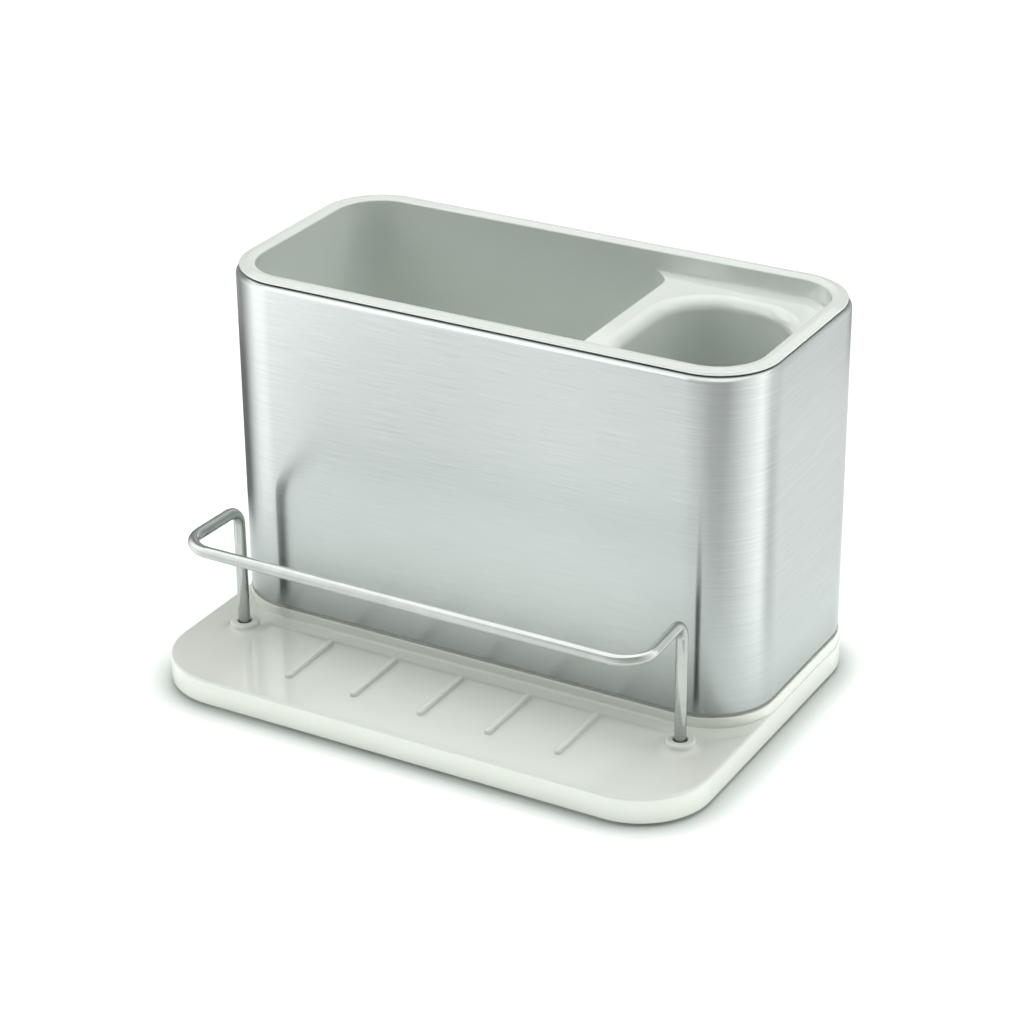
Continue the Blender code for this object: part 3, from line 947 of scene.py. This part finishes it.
cardRing = {
    "radius": 0.175,
    "height": 0.20,
    "sides": 96,
    "split": (0.07, 0.085),
    "brightest": 2.0,
    "lowShades": (  # (heading in degrees from the object's front towards its right, shade)
        (-180, 0.75), (-150, 0.60), (-110, 0.20), (-90, 0.20), (-86, 0.40), (-80, 0.90),
        (-70, 1.45), (-60, 1.50), (-46, 1.10), (-30, 1.05), (-15, 1.20), (0, 1.15),
        (30, 0.90), (44, 0.65), (56, 0.65), (68, 0.85), (88, 1.45), (94, 1.55),
        (98, 1.30), (101, 1.00), (105, 0.80), (118, 1.10), (130, 1.10), (150, 0.90),
        (180, 0.75),
    ),
    "highShades": (
        (-180, 0.65), (-125, 0.65), (-105, 0.40), (-90, 0.40), (-80, 0.95), (-70, 1.75),
        (-60, 1.75), (-48, 1.40), (-20, 1.20), (10, 0.75), (60, 0.50), (92, 1.60),
        (102, 1.00), (115, 0.90), (130, 1.00), (150, 0.40), (180, 0.65),
    ),
}
ceilingCard = {
    "size": 1.2,
    "height": 0.8,
    "shade": 1.7,
}


def emptyTree(owner):
    # The node tree of a material or of the world, without the nodes that it starts with.
    owner.use_nodes = True
    owner.node_tree.nodes.clear()
    return owner.node_tree


def shownStrength(tree, hidden, shown):
    # One strength for what the camera, metal and glass see, another for the light that falls on
    # things.
    rays = addNode(tree, "ShaderNodeLightPath", {}, {})
    seen = addNode(tree, "ShaderNodeMath", {"operation": "MAXIMUM"},
                   {0: rays.outputs["Is Camera Ray"], 1: rays.outputs["Is Glossy Ray"]})
    also = addNode(tree, "ShaderNodeMath", {"operation": "MAXIMUM"},
                   {0: seen.outputs["Value"], 1: rays.outputs["Is Transmission Ray"]})
    return addNode(tree, "ShaderNodeMapRange", {"To Min": hidden, "To Max": shown},
                   {"Value": also.outputs["Value"]}).outputs["Result"]


def makeFloor():
    sizes = studioSizes
    pickOnly(None)
    bpy.ops.mesh.primitive_plane_add(size=sizes["floor"])
    floor = bpy.context.object
    floor.name = "studio_floor"
    material = bpy.data.materials.new("pale studio floor")
    tree = emptyTree(material)
    # The glow fades right under the object, so that its contact shadow stays dark.
    contact = addNode(tree, "ShaderNodeAmbientOcclusion",
                      {"Distance": sizes["contactShade"], "samples": 8}, {})
    deeper = addNode(tree, "ShaderNodeMath", {"operation": "POWER", 1: sizes["contactDepth"]},
                     {0: contact.outputs["AO"]})
    # Out of the lamps' reach the floor glows more, so that it stays as pale there.
    place = addNode(tree, "ShaderNodeTexCoord", {}, {}).outputs["Object"]
    away = addNode(tree, "ShaderNodeVectorMath", {"operation": "LENGTH"}, {0: place})
    far = addNode(tree, "ShaderNodeMapRange",
                  {"From Min": sizes["farFrom"], "From Max": sizes["farTo"],
                   "To Max": sizes["farGlow"]},
                  {"Value": away.outputs["Value"]})
    shown = shownStrength(tree, sizes["floorBounce"], sizes["floorGlow"])
    pale = addNode(tree, "ShaderNodeMath", {"operation": "ADD"},
                   {0: shown, 1: far.outputs["Result"]})
    strength = addNode(tree, "ShaderNodeMath", {"operation": "MULTIPLY"},
                       {0: pale.outputs["Value"], 1: deeper.outputs["Value"]})
    glow = addNode(tree, "ShaderNodeEmission", {"Color": (1, 1, 1, 1)},
                   {"Strength": strength.outputs["Value"]})
    paint = addNode(tree, "ShaderNodeBsdfDiffuse", {"Color": linear(sizes["floorPaint"])}, {})
    both = addNode(tree, "ShaderNodeAddShader", {},
                   {0: glow.outputs["Emission"], 1: paint.outputs["BSDF"]})
    addNode(tree, "ShaderNodeOutputMaterial", {}, {"Surface": both.outputs["Shader"]})
    floor.data.materials.append(material)


def makeSurround():
    world = bpy.data.worlds.new("pale surround")
    bpy.context.scene.world = world
    tree = emptyTree(world)
    shown = shownStrength(tree, studioSizes["ambient"], studioSizes["surround"])
    light = addNode(tree, "ShaderNodeBackground", {"Color": (1, 1, 1, 1)}, {"Strength": shown})
    addNode(tree, "ShaderNodeOutputWorld", {}, {"Surface": light.outputs["Background"]})


def makeLamp(name, sizes):
    # Its heading is in degrees from the object's front towards its right, and it looks back at it.
    heading, rise = math.radians(sizes["heading"]), math.radians(sizes["rise"])
    away, height = sizes["away"], studioSizes["aimHeight"]
    place = Vector((math.sin(heading) * math.cos(rise) * away,
                    -math.cos(heading) * math.cos(rise) * away,
                    height + math.sin(rise) * away))
    pickOnly(None)
    bpy.ops.object.light_add(type="AREA", location=place)
    lamp = bpy.context.object
    lamp.name = name
    lamp.data.shape = "RECTANGLE"
    lamp.data.size, lamp.data.size_y = sizes["size"]
    lamp.data.energy = sizes["power"]
    lamp.data.color = studioSizes["lampTint"]
    lamp.rotation_mode = "QUATERNION"
    lamp.rotation_quaternion = (Vector((0, 0, height)) - place).to_track_quat("-Z", "Y")


def onlyReflected(card, name):
    # A card that shows in reflections alone; it returns the node tree of its material.
    card.visible_camera = False
    card.visible_diffuse = False
    card.visible_shadow = False
    card.visible_transmission = False
    material = bpy.data.materials.new(name)
    card.data.materials.append(material)
    return emptyTree(material)


def makeCardRing():
    # Each row of shades is a ramp round the ring, with soft changes between its stops.
    sizes = cardRing
    pickOnly(None)
    bpy.ops.mesh.primitive_cylinder_add(vertices=sizes["sides"], radius=sizes["radius"],
                                        depth=sizes["height"], end_fill_type="NOTHING",
                                        location=(0, 0, sizes["height"] / 2))
    applyPlace()
    ring = bpy.context.object
    ring.name = "card_ring"
    tree = onlyReflected(ring, "studio cards")
    place = addNode(tree, "ShaderNodeTexCoord", {}, {}).outputs["Object"]
    parts = addNode(tree, "ShaderNodeSeparateXYZ", {}, {"Vector": place})
    front = addNode(tree, "ShaderNodeMath", {"operation": "MULTIPLY", 1: -1},
                    {0: parts.outputs["Y"]})
    heading = addNode(tree, "ShaderNodeMath", {"operation": "ARCTAN2"},
                      {0: parts.outputs["X"], 1: front.outputs["Value"]})
    share = addNode(tree, "ShaderNodeMapRange", {"From Min": -math.pi, "From Max": math.pi},
                    {"Value": heading.outputs["Value"]})
    upper = addNode(tree, "ShaderNodeMapRange",
                    {"From Min": sizes["split"][0], "From Max": sizes["split"][1]},
                    {"Value": parts.outputs["Z"]})
    both = addNode(tree, "ShaderNodeMix", {"data_type": "RGBA"},
                   {"Factor": upper.outputs["Result"]})
    for row, shades in (("A", sizes["lowShades"]), ("B", sizes["highShades"])):
        ramp = addNode(tree, "ShaderNodeValToRGB", {}, {"Fac": share.outputs["Result"]})
        stops = ramp.color_ramp.elements
        while len(stops) < len(shades):
            stops.new(0.5)
        for stop, (degrees, shade) in zip(stops, shades):
            level = shade / sizes["brightest"]
            stop.position = (degrees + 180) / 360
            stop.color = (level, level, level, 1)
        tree.links.new(ramp.outputs["Color"], both.inputs[row])
    light = addNode(tree, "ShaderNodeEmission", {"Strength": sizes["brightest"]},
                    {"Color": both.outputs["Result"]})
    addNode(tree, "ShaderNodeOutputMaterial", {}, {"Surface": light.outputs["Emission"]})


def makeCeilingCard():
    sizes = ceilingCard
    pickOnly(None)
    bpy.ops.mesh.primitive_plane_add(size=sizes["size"], location=(0, 0, sizes["height"]))
    applyPlace()
    card = bpy.context.object
    card.name = "ceiling_card"
    tree = onlyReflected(card, "white ceiling card")
    light = addNode(tree, "ShaderNodeEmission",
                    {"Color": (1, 1, 1, 1), "Strength": sizes["shade"]}, {})
    addNode(tree, "ShaderNodeOutputMaterial", {}, {"Surface": light.outputs["Emission"]})


makeFloor()
makeSurround()
for name, sizes in lamps.items():
    makeLamp(name, sizes)
makeCardRing()
makeCeilingCard()
print("studio made")
bpy.context.scene.view_settings.view_transform = "Standard"
